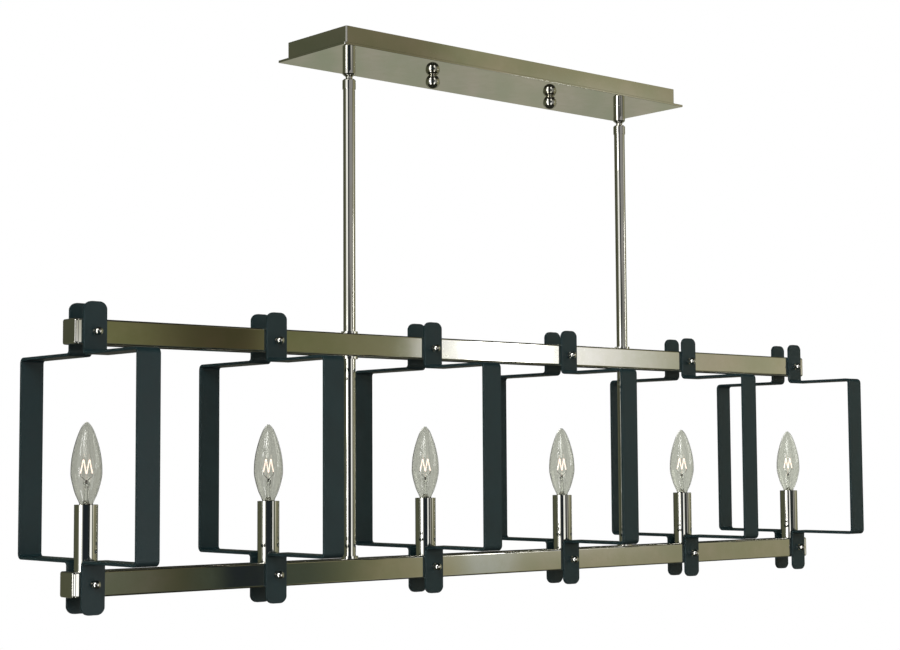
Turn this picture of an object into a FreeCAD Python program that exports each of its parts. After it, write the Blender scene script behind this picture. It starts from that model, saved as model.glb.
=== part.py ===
import FreeCAD, Part
import math
import os

# Linear island pendant with six split strap hoops, two square bars and six candle lamps.
# Millimetres. X runs along the bars, -Y is the front, +Z is up.
# The origin is the middle of the canopy's open rim, where it meets the ceiling.

V = FreeCAD.Vector
os.makedirs("parts", exist_ok=True)

# ---- driving dimensions: hoops -------------------------------------------------
HOOPS = 6
PITCH = 216.0              # from hoop to hoop along the bars
STRAP_W = 25.4             # one inch flat strap
STRAP_T = 3.0
STRAP_EASE = 0.5           # eased long edges of the strap
HOOP_DEPTH = 227.0         # outside, front to rear
HOOP_H = 204.0             # outside, between the two runs
BEND_IN = 3.0              # inside radius of every bend
TAB_PAST_BAR = 17.0        # how far a tab runs past the bar
TAB_CORNER = 8.5

# ---- bars ----------------------------------------------------------------------
BAR = 25.0                 # square tube, outside
BAR_WALL = 1.5
BAR_EDGE = 2.0
BAR_LEN = 1122.0           # with both end caps
CAP_T = 3.4
CAP_PLUG = 8.0
CAP_CORNER = 2.4           # the cap's corners are rounder than the tube's
CAP_ROUND = 1.5            # round rim of the end face
SEAM_EASE = 0.35           # fine groove where cap and tube meet
BORE_CORNER = 0.4          # inside corners of the square tube
BAR_SPACING = 244.0        # middle of one bar to middle of the other
DROP = 461.0               # ceiling to the level halfway between the bars

# ---- rods and spacer tubes -----------------------------------------------------
ROD_X = 216.0
ROD_R = 6.7
ROD_BORE = 4.8
RING_R = 9.2
RING_T = 2.5
NIPPLE_R = 4.8             # M10 hollow threaded nipple
NIPPLE_BORE = 3.4
NIPPLE_GRIP = 12.0         # thread inside a rod or spacer tube
NUT_FLATS = 14.0
NUT_T = 3.5

# ---- canopy --------------------------------------------------------------------
PAN = (522.0, 106.0, 20.0)
PAN_WALL = 1.2
PAN_CORNER = 1.5
PLATE = (538.0, 121.0, 2.5)
PLATE_CORNER = 1.5
PLATE_ROUND = 0.35         # broken edge, above and below
KNOB_X = 94.0
KNOB_R = 8.4
KNOB_DROP = 7.2            # plate to the middle of the ball
STUD_R = 2.0
STUD_SLIP = 0.3            # radial play of a stud in the canopy's holes
SLIP = 0.06                # radial play of a part that turns on a thread
KNOB_GAP = 0.1             # knob to plate
CROSSBAR = (212.0, 22.0, 2.0)
SLOT_X = 44.45             # outlet box screws, 88.9 mm apart
SLOT_R = 2.4
SLOT_LEN = 14.0
CROSSBAR_CORNER = 3.0
GROUND_X = 22.0
GROUND_HEAD = (4.2, 2.4)   # radius and height
STUD_NUT = (7.0, 3.0)      # across flats and height

# ---- swivels -------------------------------------------------------------------
SWIVEL_R = 7.4
SOCKET_LEN = 17.0          # plate to the lip
BALL_R = 6.1
CAVITY_R = 6.4
BALL_ABOVE_LIP = 3.0
STEM_R = 3.8
STEM_BORE = 2.4
COLLAR_TOP = 21.5          # below the plate
COLLAR_END = 32.5
ROD_GRIP = 8.0             # rod inside the collar
SWIVEL_CHAMFER = 1.4
SHOULDER_T = 6.0           # shoulder of the nipple that closes the swivel

# ---- lamps ---------------------------------------------------------------------
SLEEVE_R = 11.5
SLEEVE_WALL = 0.8
SLEEVE_H = 63.7
LAMP_NECK_DOWN = 1.8       # glass neck starts this far below the sleeve's mouth
GLASS_T = 0.7
GLASS_STEM_R = 2.2
GLASS_STEM_H = 24.0
BASE_R = 5.93              # E12 screw shell
BASE_H = 14.5
SKIRT_R = 6.2              # skirt between glass and shell
SKIRT_H = 2.5
BASE_TAPER = 1.5           # end of the shell, drawn in to the insulator
INSULATOR = (4.2, 3.0, 2.2)             # radii above and below, height
CONTACT = (1.6, 0.7)       # radius and height
GLASS_FLARE = (1.2, 4.2)   # the flare is full up to the first height, a tube from the second
FILAMENT_WIRE = 0.25
FILAMENT_SPREAD = 6.4
FILAMENT_LIFT = 8.0        # glass stem to the low points of the zigzag
FILAMENT_RISE = 21.0       # glass stem to its peaks
SOCKET_R = 10.0
SOCKET_H = 37.0
SOCKET_TOP_DOWN = 3.2      # socket rim below the sleeve's mouth
SOCKET_RECESS = (6.45, 1.6)             # radius and depth, for the lamp's skirt
SOCKET_SPARE = 4.0         # bore below the end of the shell
SOCKET_THREAD = 6.0        # nipple inside the socket's floor
# torpedo envelope: radius and height above the neck
ENVELOPE = [(6.3, 0.0), (6.9, 3.4), (10.9, 12.5), (14.1, 24.0), (15.3, 33.0),
            (14.3, 47.5), (10.9, 62.5), (6.1, 75.5), (1.8, 81.4)]
ENVELOPE_TIP = 81.9

# ---- through bolts -------------------------------------------------------------
BOLT_R = 2.0
BOLT_HOLE_R = 2.15
NUT_COLLAR = (3.4, 0.8)    # radius and height of the ball nut's seat
NUT_NECK_R = 2.9
NUT_SINK = 0.3             # neck that shows between collar and ball
NUT_THREAD = 3.5           # bolt inside the nut, past the collar
BALL_NUT_R = 4.3
BOLT_HEAD = (4.4, 2.4)     # radius and height
BOLT_DOME_R = 6.2

# ---- leads ---------------------------------------------------------------------
LEAD_R = 1.6               # a pair of wires in one sleeve
LAMP_LEAD_R = 1.1
LEAD_RUN_Y = 24.0          # beside the crossbar
LEAD_LIFT = 3.0            # leads above the pan's floor
LEAD_PAST_BALL = 5.0       # end of a rod's lead above the ball's middle
WIRE_NUT_X = 60.0
WIRE_NUT = (5.0, 3.2, 20.0)             # radii and length
WIRE_NUT_LIFT = 5.2
TRUNK_LIFT = 2.6           # main lead above the lower bar's floor

# ---- levels worked out from the above ------------------------------------------
PLATE_Z = -(PAN[2] + PLATE[2])          # underside of the canopy plate
PAN_FLOOR = -PAN[2] + PAN_WALL
MID_Z = -DROP
TOP_BAR_Z = MID_Z + BAR_SPACING / 2
LOW_BAR_Z = MID_Z - BAR_SPACING / 2
SLEEVE_FOOT = LOW_BAR_Z + BAR / 2
SLEEVE_MOUTH = SLEEVE_FOOT + SLEEVE_H
BALL_Z = PLATE_Z - SOCKET_LEN + BALL_ABOVE_LIP
HOOP_X = [(i - (HOOPS - 1) / 2) * PITCH for i in range(HOOPS)]


def save(name, *solids):
    """Write one sub-part; several solids make a group of separate bodies."""
    shape = solids[0] if len(solids) == 1 else Part.makeCompound(list(solids))
    for solid in shape.Solids:
        if not solid.isValid() or solid.Volume <= 0:
            raise RuntimeError("bad solid in " + name)
    shape.exportStep("parts/" + name + ".step")
    print(name, len(shape.Solids), round(shape.Volume, 1))


def rod(radius, z0, z1, x=0.0, y=0.0):
    """Upright cylinder from z0 up to z1."""
    return Part.makeCylinder(radius, z1 - z0, V(x, y, z0))


def tube(r_out, r_in, z0, z1, x=0.0, y=0.0):
    """Upright tube from z0 up to z1."""
    return rod(r_out, z0, z1, x, y).cut(rod(r_in, z0 - 1, z1 + 1, x, y))


def cross_rod(radius, y0, y1, x, z):
    """Cylinder lying front to rear."""
    return Part.makeCylinder(radius, y1 - y0, V(x, y0, z), V(0, 1, 0))


def block(size_x, size_y, z0, z1, corner=0.0, x=0.0, y=0.0):
    """Box centred on x, y, with its four upright edges rounded."""
    box = Part.makeBox(size_x, size_y, z1 - z0, V(x - size_x / 2, y - size_y / 2, z0))
    if corner <= 0:
        return box
    upright = [e for e in box.Edges if abs(e.tangentAt(e.FirstParameter).z) > 0.9]
    return box.makeFillet(corner, upright)


def turned(edges, x=0.0, y=0.0):
    """Solid of revolution about Z from a closed outline of edges in the XZ plane."""
    face = Part.Face(Part.Wire(edges))
    solid = face.revolve(V(0, 0, 0), V(0, 0, 1), 360)
    if solid.Volume < 0:
        solid.reverse()
    solid.translate(V(x, y, 0))
    return solid


def line(a, b):
    """Straight edge between two (radius, height) points."""
    return Part.LineSegment(V(a[0], 0, a[1]), V(b[0], 0, b[1])).toShape()


def outline(points):
    """Closed outline of straight edges through (radius, height) points."""
    return [line(a, b) for a, b in zip(points, points[1:] + points[:1])]


def hex_nut(z0, z1, x, bore, flats=NUT_FLATS, y=0.0):
    """Hexagon nut on an upright thread."""
    corner_r = flats / 2 / math.cos(math.pi / 6)
    corners = [V(x + corner_r * math.cos(math.pi / 3 * k),
                 y + corner_r * math.sin(math.pi / 3 * k), z0) for k in range(7)]
    body = Part.Face(Part.makePolygon(corners)).extrude(V(0, 0, z1 - z0))
    return body.cut(rod(bore, z0 - 1, z1 + 1, x, y))


def rounded_path(points, radius):
    """Wire of straight runs joined by tangent arcs of one radius."""
    edges = []
    start = points[0]
    for before, corner, after in zip(points, points[1:], points[2:]):
        to_before = (before - corner).normalize()
        to_after = (after - corner).normalize()
        half_turn = (math.pi - to_before.getAngle(to_after)) / 2
        setback = radius * math.tan(half_turn)
        arc_in = corner + to_before * setback
        arc_out = corner + to_after * setback
        to_centre = (to_before + to_after).normalize()
        arc_mid = corner + to_centre * (radius / math.cos(half_turn) - radius)
        edges.append(Part.LineSegment(start, arc_in).toShape())
        edges.append(Part.Arc(arc_in, arc_mid, arc_out).toShape())
        start = arc_out
    edges.append(Part.LineSegment(start, points[-1]).toShape())
    return Part.Wire(edges)


def cable(points, radius, bend):
    """Round wire along a path of runs and arcs."""
    path = rounded_path(points, bend)
    ring = Part.Wire(Part.makeCircle(radius, points[0], points[1] - points[0]))
    return path.makePipeShell([ring], True, True)


# ---- hoops ----------------------------------------------------------------------

def hoop_half(x, side):
    """One C-shaped strap. side is -1 for the front half and +1 for the rear half.

    The strap leaves its upper tab, bends outwards under the bar, goes down the
    outside of the hoop and comes back to its lower tab.
    """
    tab_y = side * (BAR / 2 + STRAP_T / 2)
    side_y = side * (HOOP_DEPTH / 2 - STRAP_T / 2)
    run = HOOP_H / 2 - STRAP_T / 2
    tab_end = BAR_SPACING / 2 + BAR / 2 + TAB_PAST_BAR
    corners = [(tab_y, tab_end), (tab_y, run), (side_y, run),
               (side_y, -run), (tab_y, -run), (tab_y, -tab_end)]
    path = rounded_path([V(x, y, MID_Z + z) for y, z in corners], BEND_IN + STRAP_T / 2)
    section = block(STRAP_W, STRAP_T, 0, 1, STRAP_EASE, x, tab_y).Faces
    top = max(section, key=lambda f: f.CenterOfMass.z).OuterWire
    top.translate(V(0, 0, MID_Z + tab_end - 1))
    strap = path.makePipeShell([top], True, False)
    for sign in (1, -1):
        strap = strap.common(tab_round(x, sign))
    for bar_z in (TOP_BAR_Z, LOW_BAR_Z):
        strap = strap.cut(cross_rod(BOLT_HOLE_R, tab_y - 3, tab_y + 3, x, bar_z))
    return strap


def tab_round(x, sign):
    """Block that holds the whole hoop and has the two rounded corners of the tabs."""
    reach = BAR_SPACING / 2 + BAR / 2 + TAB_PAST_BAR
    box = Part.makeBox(STRAP_W, HOOP_DEPTH + 10, 2 * reach,
                       V(x - STRAP_W / 2, -HOOP_DEPTH / 2 - 5, MID_Z - reach))
    tip = [e for e in box.Edges if abs(e.tangentAt(e.FirstParameter).y) > 0.9
           and sign * (e.CenterOfMass.z - MID_Z) > 0]
    return box.makeFillet(TAB_CORNER, tip)


# ---- bars -----------------------------------------------------------------------

def lying_bar(width, corner, x0, x1, z):
    """Square rod along X with rounded long edges."""
    box = Part.makeBox(x1 - x0, width, width, V(x0, -width / 2, z - width / 2))
    long_edges = [e for e in box.Edges if abs(e.tangentAt(e.FirstParameter).x) > 0.9]
    return box.makeFillet(corner, long_edges)


def bar_tube(z):
    """Square tube between its end caps, drilled for the through bolts."""
    half = BAR_LEN / 2 - CAP_T
    body = lying_bar(BAR, BAR_EDGE, -half, half, z)
    rims = [e for e in body.Edges if abs(abs(e.CenterOfMass.x) - half) < 0.01]
    body = body.makeChamfer(SEAM_EASE, rims)
    body = body.cut(lying_bar(BAR - 2 * BAR_WALL, BORE_CORNER, -half - 1, half + 1, z))
    for x in HOOP_X:
        body = body.cut(cross_rod(BOLT_HOLE_R, -BAR, BAR, x, z))
    return body


def end_cap(z, side):
    """Round-cornered end plate with a plug that is pressed into the tube."""
    outer = side * BAR_LEN / 2
    seat = side * (BAR_LEN / 2 - CAP_T)
    plug_end = side * (BAR_LEN / 2 - CAP_T - CAP_PLUG)
    plate = lying_bar(BAR, CAP_CORNER, min(outer, seat), max(outer, seat), z)
    rim = [e for e in plate.Edges if abs(e.CenterOfMass.x - outer) < 0.01]
    plate = plate.makeFillet(CAP_ROUND, rim)
    seam = [e for e in plate.Edges if abs(e.CenterOfMass.x - seat) < 0.01]
    plate = plate.makeChamfer(SEAM_EASE, seam)
    plug = lying_bar(BAR - 2 * BAR_WALL, BORE_CORNER, min(plug_end, seat), max(plug_end, seat), z)
    return plate.fuse(plug).removeSplitter()


def upper_bar():
    """The upper bar is drilled right through for the nipples of the rods."""
    body = bar_tube(TOP_BAR_Z)
    for x in (-ROD_X, ROD_X):
        body = body.cut(rod(NIPPLE_R, TOP_BAR_Z - BAR, TOP_BAR_Z + BAR, x))
    return body


def lower_bar():
    """The lower bar has holes in its top wall for spacer tubes and lamps."""
    body = bar_tube(LOW_BAR_Z)
    for x in [-ROD_X, ROD_X] + HOOP_X:
        body = body.cut(rod(NIPPLE_R, LOW_BAR_Z + BAR / 4, LOW_BAR_Z + BAR, x))
    return body


# ---- rods, spacer tubes and swivels ----------------------------------------------

def swivel_socket(x):
    """Upper half of the swivel, fixed under the canopy; its lip holds the ball."""
    lip_z = PLATE_Z - SOCKET_LEN
    body = rod(SWIVEL_R, lip_z, PLATE_Z, x)
    rim = [e for e in body.Edges if abs(e.CenterOfMass.z - lip_z) < 0.01]
    body = body.makeChamfer(SWIVEL_CHAMFER, rim)
    body = body.cut(rod(CAVITY_R, BALL_Z, PLATE_Z + 1, x))
    return body.cut(Part.makeSphere(CAVITY_R, V(x, 0, BALL_Z)))


def swivel_stem(x):
    """Ball, stem and threaded collar in one; it turns in the socket and holds the rod."""
    top = PLATE_Z - COLLAR_TOP
    end = PLATE_Z - COLLAR_END
    collar = rod(SWIVEL_R, end, top, x)
    rim = [e for e in collar.Edges if abs(e.CenterOfMass.z - top) < 0.01]
    collar = collar.makeChamfer(SWIVEL_CHAMFER, rim)
    body = collar.fuse(rod(STEM_R, top - 1, BALL_Z, x))
    body = body.fuse(Part.makeSphere(BALL_R, V(x, 0, BALL_Z)))
    body = body.cut(rod(STEM_BORE, end - 1, BALL_Z + BALL_R + 1, x))
    return body.cut(rod(ROD_R, end - 1, end + ROD_GRIP, x))


def swivel_nipple(x):
    """Shouldered nipple: closes the swivel and passes through plate and pan."""
    shoulder = tube(CAVITY_R, NIPPLE_BORE, PLATE_Z - SHOULDER_T, PLATE_Z, x)
    shank = tube(NIPPLE_R, NIPPLE_BORE, PLATE_Z, PAN_FLOOR + 2 * NUT_T, x)
    return shoulder.fuse(shank)


def bar_nipple(x, z0, z1):
    """Hollow thread that joins a rod or spacer tube to a bar."""
    return tube(NIPPLE_R, NIPPLE_BORE, z0, z1, x)


# ---- lamps -----------------------------------------------------------------------

def bulb(x):
    """Glass envelope with its inner stem, screw base, and filament on its wires."""
    neck = SLEEVE_MOUTH - LAMP_NECK_DOWN
    return [glass(x, neck), screw_base(x, neck)] + filament(x, neck)


def envelope_curve(shrink, neck):
    """Smooth envelope line from the neck to the tip, moved in by shrink."""
    points = [V(r - shrink, 0, neck + z) for r, z in ENVELOPE[:-1]]
    last_r, last_z = ENVELOPE[-1]
    points.append(V(last_r, 0, neck + last_z - shrink))
    points.append(V(0, 0, neck + ENVELOPE_TIP - shrink))
    curve = Part.BSplineCurve()
    curve.interpolate(Points=points, InitialTangent=V(0, 0, 1), FinalTangent=V(-1, 0, 0))
    return curve.toShape()


def glass(x, neck):
    """Blown envelope closed at the neck by the flare of the inner glass stem."""
    tip = neck + ENVELOPE_TIP
    neck_r = ENVELOPE[0][0]
    shell = [envelope_curve(0.0, neck),
             line((0, tip), (0, tip - GLASS_T)),
             envelope_curve(GLASS_T, neck),
             line((neck_r - GLASS_T, neck), (neck_r, neck))]
    floor_r = neck_r - GLASS_T / 2
    flare_top, tube_foot = GLASS_FLARE
    stem = outline([(0, neck), (floor_r, neck), (floor_r, neck + flare_top),
                    (GLASS_STEM_R, neck + tube_foot), (GLASS_STEM_R, neck + GLASS_STEM_H - 1),
                    (GLASS_STEM_R - 1, neck + GLASS_STEM_H), (0, neck + GLASS_STEM_H)])
    body = turned(shell).fuse(turned(stem))
    body.translate(V(x, 0, 0))
    return body


def screw_base(x, neck):
    """E12 base: plain skirt, shell for the thread, insulator and contact."""
    shell_end = neck - BASE_H
    wide, narrow, tall = INSULATOR
    contact_r, contact_h = CONTACT
    tip = shell_end - tall - contact_h
    return turned(outline([(0, neck), (SKIRT_R, neck), (BASE_R, neck - SKIRT_H),
                           (BASE_R, shell_end + BASE_TAPER), (wide, shell_end),
                           (narrow, shell_end - tall), (contact_r, tip), (0, tip)]), x)


def filament(x, neck):
    """Zigzag filament with two lead wires that stand on the glass stem."""
    foot = neck + GLASS_STEM_H
    low = foot + FILAMENT_LIFT
    spread, wire_r = FILAMENT_SPREAD, FILAMENT_WIRE
    solids = []
    for side in (-1, 1):
        lead = [V(x + side * 0.9, 0, foot), V(x + side * 1.2, 0, foot + 2),
                V(x + side * spread, 0, low - 3), V(x + side * spread, 0, low + 0.7)]
        solids.append(cable(lead, wire_r, 4 * wire_r))
    peak, peak_x, end_x = foot + FILAMENT_RISE, spread / 2, spread - 0.6
    zig = [V(x - end_x, 0, low), V(x - peak_x, 0, peak), V(x, 0, low),
           V(x + peak_x, 0, peak), V(x + end_x, 0, low)]
    solids.append(cable(zig, wire_r, 2 * wire_r))
    return solids


def lamp_socket(x):
    """Candelabra socket: insulating body with a bore for the screw base."""
    top = SLEEVE_MOUTH - SOCKET_TOP_DOWN
    floor = top - SOCKET_H
    bore_end = SLEEVE_MOUTH - LAMP_NECK_DOWN - BASE_H - SOCKET_SPARE
    recess_r, recess_h = SOCKET_RECESS
    body = rod(SOCKET_R, floor, top, x)
    body = body.cut(rod(BASE_R + SLIP, bore_end, top + 1, x))
    body = body.cut(rod(recess_r, top - recess_h, top + 1, x))
    return body.cut(rod(NIPPLE_R, floor - 1, floor + SOCKET_THREAD, x))


def candle_sleeve(x):
    """Plated tube that stands on the lower bar round the socket."""
    return tube(SLEEVE_R, SLEEVE_R - SLEEVE_WALL, SLEEVE_FOOT, SLEEVE_MOUTH, x)


def socket_nipple(x):
    """Hollow thread from inside the lower bar up into the socket."""
    socket_floor = SLEEVE_MOUTH - SOCKET_TOP_DOWN - SOCKET_H
    return tube(NIPPLE_R, NIPPLE_BORE, nut_floor(), socket_floor + SOCKET_THREAD, x)


def nut_floor():
    """Foot of the nipples in the lower bar, just below their lock nuts."""
    return LOW_BAR_Z + BAR / 2 - BAR_WALL - NUT_T - 0.5


# ---- fasteners -------------------------------------------------------------------

def hoop_bolt(x, z):
    """Through bolt with a low domed head at the rear."""
    seat = BAR / 2 + STRAP_T
    front = -(seat + NUT_COLLAR[1] + NUT_THREAD)
    head_r, head_h = BOLT_HEAD
    shank = cross_rod(BOLT_R, front, seat, x, z)
    dome = Part.makeSphere(BOLT_DOME_R, V(x, seat + head_h - BOLT_DOME_R, z))
    head = cross_rod(head_r, seat, seat + head_h, x, z).common(dome)
    return shank.fuse(head)


def ball_nut(x, z):
    """Ball cap nut in front, on a small collar that the ball hides."""
    collar_r, collar_h = NUT_COLLAR
    seat = -(BAR / 2 + STRAP_T)
    face = seat - collar_h
    collar = cross_rod(collar_r, face, seat, x, z)
    neck = cross_rod(NUT_NECK_R, face - BALL_NUT_R / 2, face, x, z)
    ball = Part.makeSphere(BALL_NUT_R, V(x, face - NUT_SINK - BALL_NUT_R, z))
    body = collar.fuse([neck, ball])
    return body.cut(cross_rod(BOLT_R, face - NUT_THREAD, seat + 1, x, z))


def canopy_knob(x):
    """Ball cap that screws on a stud and holds the canopy up."""
    middle = PLATE_Z - KNOB_DROP
    ball = Part.makeSphere(KNOB_R, V(x, 0, middle))
    ball = ball.common(block(4 * KNOB_R, 4 * KNOB_R, middle - 2 * KNOB_R, PLATE_Z - KNOB_GAP, 0, x))
    return ball.cut(rod(STUD_R + SLIP, middle - 1.5, PLATE_Z + 1, x))


def crossbar():
    """Flat steel strap screwed to the outlet box, with slots and threaded holes."""
    length, width, thick = CROSSBAR
    bar = block(length, width, -thick, 0, CROSSBAR_CORNER)
    for side in (-1, 1):
        bar = bar.cut(slot(side * SLOT_X, -thick))
        bar = bar.cut(rod(STUD_R, -thick - 1, 1, side * KNOB_X))
    return bar.cut(rod(STUD_R, -thick - 1, 1, GROUND_X))


def slot(x, z):
    """Cutter for one long hole."""
    run = SLOT_LEN - 2 * SLOT_R
    cutter = block(run, 2 * SLOT_R, z - 1, 1, 0, x)
    for side in (-1, 1):
        cutter = cutter.fuse(rod(SLOT_R, z - 1, 1, x + side * run / 2))
    return cutter


def canopy_pan():
    """Shallow box, open to the ceiling, drilled for nipples and studs."""
    length, width, height = PAN
    body = block(length, width, -height, 0, PAN_CORNER)
    inner = block(length - 2 * PAN_WALL, width - 2 * PAN_WALL, -height + PAN_WALL, 1,
                  PAN_CORNER - PAN_WALL)
    return drill_canopy(body.cut(inner))


def canopy_plate():
    """Flat polished plate under the pan, a little larger all round."""
    length, width, thick = PLATE
    body = block(length, width, PLATE_Z, PLATE_Z + thick, PLATE_CORNER)
    middle = PLATE_Z + thick / 2
    rims = [e for e in body.Edges if abs(abs(e.CenterOfMass.z - middle) - thick / 2) < 0.01]
    return drill_canopy(body.makeFillet(PLATE_ROUND, rims))


def drill_canopy(body):
    """Holes shared by the pan and the plate."""
    for side in (-1, 1):
        body = body.cut(rod(NIPPLE_R, PLATE_Z - 1, 1, side * ROD_X))
        body = body.cut(rod(STUD_R + STUD_SLIP, PLATE_Z - 1, 1, side * KNOB_X))
    return body


def stud(x):
    """Threaded stud between the crossbar and the ball cap."""
    return rod(STUD_R, PLATE_Z - KNOB_DROP - 1.0, 0, x)


def ground_screw():
    """Earth screw in the crossbar, with its flat head below."""
    thick = CROSSBAR[2]
    head_r, head_h = GROUND_HEAD
    shank = rod(STUD_R, -thick - 1, 0, GROUND_X)
    head = rod(head_r, -thick - head_h, -thick, GROUND_X)
    return shank.fuse(head)


# ---- wiring ----------------------------------------------------------------------

def wiring():
    """Lamp leads: down both rods, along the lower bar, and up to each socket."""
    trunk_z = LOW_BAR_Z - BAR / 2 + BAR_WALL + TRUNK_LIFT
    half = HOOP_X[-1] + 8
    trunk = Part.makeCylinder(LEAD_R, 2 * half, V(-half, 0, trunk_z), V(1, 0, 0))
    solids = [trunk]
    for x in (-ROD_X, ROD_X):
        solids.append(rod(LEAD_R, trunk_z + LEAD_R + 0.1, BALL_Z + LEAD_PAST_BALL, x))
    for x in HOOP_X:
        rise = [V(x + 5.6, 0, trunk_z + 1.8), V(x + 5.4, 0, LOW_BAR_Z - 3),
                V(x + 2.2, 0, nut_floor() - 0.5),
                V(x + 2.0, 0, SLEEVE_MOUTH - SOCKET_TOP_DOWN - SOCKET_H + 5.5)]
        solids.append(cable(rise, LAMP_LEAD_R, 6.0))
    return solids


def canopy_leads():
    """Supply leads: out of each nipple and over to the outlet box's two wire nuts."""
    low = PAN_FLOOR + LEAD_LIFT
    big_r, small_r, length = WIRE_NUT
    solids = []
    for side in (-1, 1):
        run_y = side * LEAD_RUN_Y
        nut_x = side * WIRE_NUT_X
        rise = [V(side * ROD_X, 0, PLATE_Z - SHOULDER_T + 0.3), V(side * ROD_X, 0, PAN_FLOOR + 11.0),
                V(side * (ROD_X - 40), run_y, low), V(nut_x, run_y, low)]
        solids.append(cable(rise, LEAD_R, 3.0))
        foot = V(nut_x, run_y, PAN_FLOOR + WIRE_NUT_LIFT)
        solids.append(Part.makeCone(big_r, small_r, length, foot, V(-side, 0, 0)))
    return solids


# ---- build -----------------------------------------------------------------------

save("canopy_pan", canopy_pan())
save("canopy_plate", canopy_plate())
save("mounting_crossbar", crossbar())
save("crossbar_studs", stud(-KNOB_X), stud(KNOB_X))
save("stud_lock_nuts", *[hex_nut(-CROSSBAR[2] - STUD_NUT[1], -CROSSBAR[2], x, STUD_R, STUD_NUT[0])
                         for x in (-KNOB_X, KNOB_X)])
save("ground_screw", ground_screw())
save("swivel_nipples", swivel_nipple(-ROD_X), swivel_nipple(ROD_X))
save("swivel_lock_nuts", *[hex_nut(PAN_FLOOR, PAN_FLOOR + NUT_T, x, NIPPLE_R)
                           for x in (-ROD_X, ROD_X)])
save("supply_leads", *canopy_leads())

ROD_TOP = PLATE_Z - COLLAR_END + ROD_GRIP
ROD_FOOT = TOP_BAR_Z + BAR / 2 + RING_T
SPACER_TOP = TOP_BAR_Z - BAR / 2 - RING_T
SPACER_FOOT = LOW_BAR_Z + BAR / 2 + RING_T
for name, x in (("left", -ROD_X), ("right", ROD_X)):
    save("swivel_socket_" + name, swivel_socket(x))
    save("swivel_stem_" + name, swivel_stem(x))
    save("downrod_" + name, tube(ROD_R, ROD_BORE, ROD_FOOT, ROD_TOP, x))
    save("spacer_tube_" + name, tube(ROD_R, ROD_BORE, SPACER_FOOT, SPACER_TOP, x))
for name, x in (("left", -KNOB_X), ("right", KNOB_X)):
    save("canopy_knob_" + name, canopy_knob(x))

RING_LEVELS = (TOP_BAR_Z + BAR / 2, SPACER_TOP, LOW_BAR_Z + BAR / 2)
save("rod_rings", *[tube(RING_R, NIPPLE_R, z, z + RING_T, x)
                    for x in (-ROD_X, ROD_X) for z in RING_LEVELS])
save("rod_nipples", *[bar_nipple(x, z0, z1) for x in (-ROD_X, ROD_X) for z0, z1 in
                      ((SPACER_TOP - NIPPLE_GRIP, ROD_FOOT + NIPPLE_GRIP),
                       (nut_floor(), SPACER_FOOT + NIPPLE_GRIP))])

save("upper_bar", upper_bar())
save("lower_bar", lower_bar())
for name, z in (("upper", TOP_BAR_Z), ("lower", LOW_BAR_Z)):
    save(name + "_bar_end_caps", end_cap(z, -1), end_cap(z, 1))
NUT_TOP = LOW_BAR_Z + BAR / 2 - BAR_WALL
save("bar_lock_nuts", *[hex_nut(NUT_TOP - NUT_T, NUT_TOP, x, NIPPLE_R)
                        for x in [-ROD_X, ROD_X] + HOOP_X])
save("hoop_bolts", *[hoop_bolt(x, z) for x in HOOP_X for z in (TOP_BAR_Z, LOW_BAR_Z)])
save("hoop_ball_nuts", *[ball_nut(x, z) for x in HOOP_X for z in (TOP_BAR_Z, LOW_BAR_Z)])
save("socket_nipples", *[socket_nipple(x) for x in HOOP_X])
save("lamp_leads", *wiring())

for number, x in enumerate(HOOP_X, 1):
    save("hoop_%d_front" % number, hoop_half(x, -1))
    save("hoop_%d_rear" % number, hoop_half(x, 1))
    save("candle_sleeve_%d" % number, candle_sleeve(x))
    save("lamp_socket_%d" % number, lamp_socket(x))
    save("bulb_%d" % number, *bulb(x))
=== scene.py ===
# %% [markdown]
# # A linear island pendant: nickel bars, black strap hoops and six clear candle lamps
# The fixture comes in as a frame of separate solids that already sit where they belong, in metres.
# This lesson gives each of them its finish, blows the six lamps as new surfaces, and builds the small
# studio whose reflections make polished nickel look like metal.

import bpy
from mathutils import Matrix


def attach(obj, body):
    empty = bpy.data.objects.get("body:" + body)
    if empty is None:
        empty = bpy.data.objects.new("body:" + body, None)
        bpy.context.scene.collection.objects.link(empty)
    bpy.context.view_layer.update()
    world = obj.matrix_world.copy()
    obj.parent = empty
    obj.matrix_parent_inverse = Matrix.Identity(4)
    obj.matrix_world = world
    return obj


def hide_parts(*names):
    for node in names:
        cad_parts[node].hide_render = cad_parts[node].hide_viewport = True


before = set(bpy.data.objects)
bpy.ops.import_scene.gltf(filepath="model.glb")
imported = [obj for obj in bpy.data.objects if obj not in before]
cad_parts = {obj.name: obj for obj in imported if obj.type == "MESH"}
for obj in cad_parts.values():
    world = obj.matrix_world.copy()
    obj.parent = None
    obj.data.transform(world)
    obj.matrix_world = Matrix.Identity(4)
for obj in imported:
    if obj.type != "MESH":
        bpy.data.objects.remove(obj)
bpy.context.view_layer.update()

import math

import bmesh
import bpy
import numpy as np
from mathutils import Matrix, Vector

# %% [markdown]
# ## One helper for every material
# A material is a small graph of nodes. Writing the graph by hand takes one line per node and one per
# wire, so a helper that adds a node, sets its values and returns it keeps each finish readable.
# The numbers that are the same all over a surface go straight on the shader's own sockets.

# %% Material helpers
MM = 0.001


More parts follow.
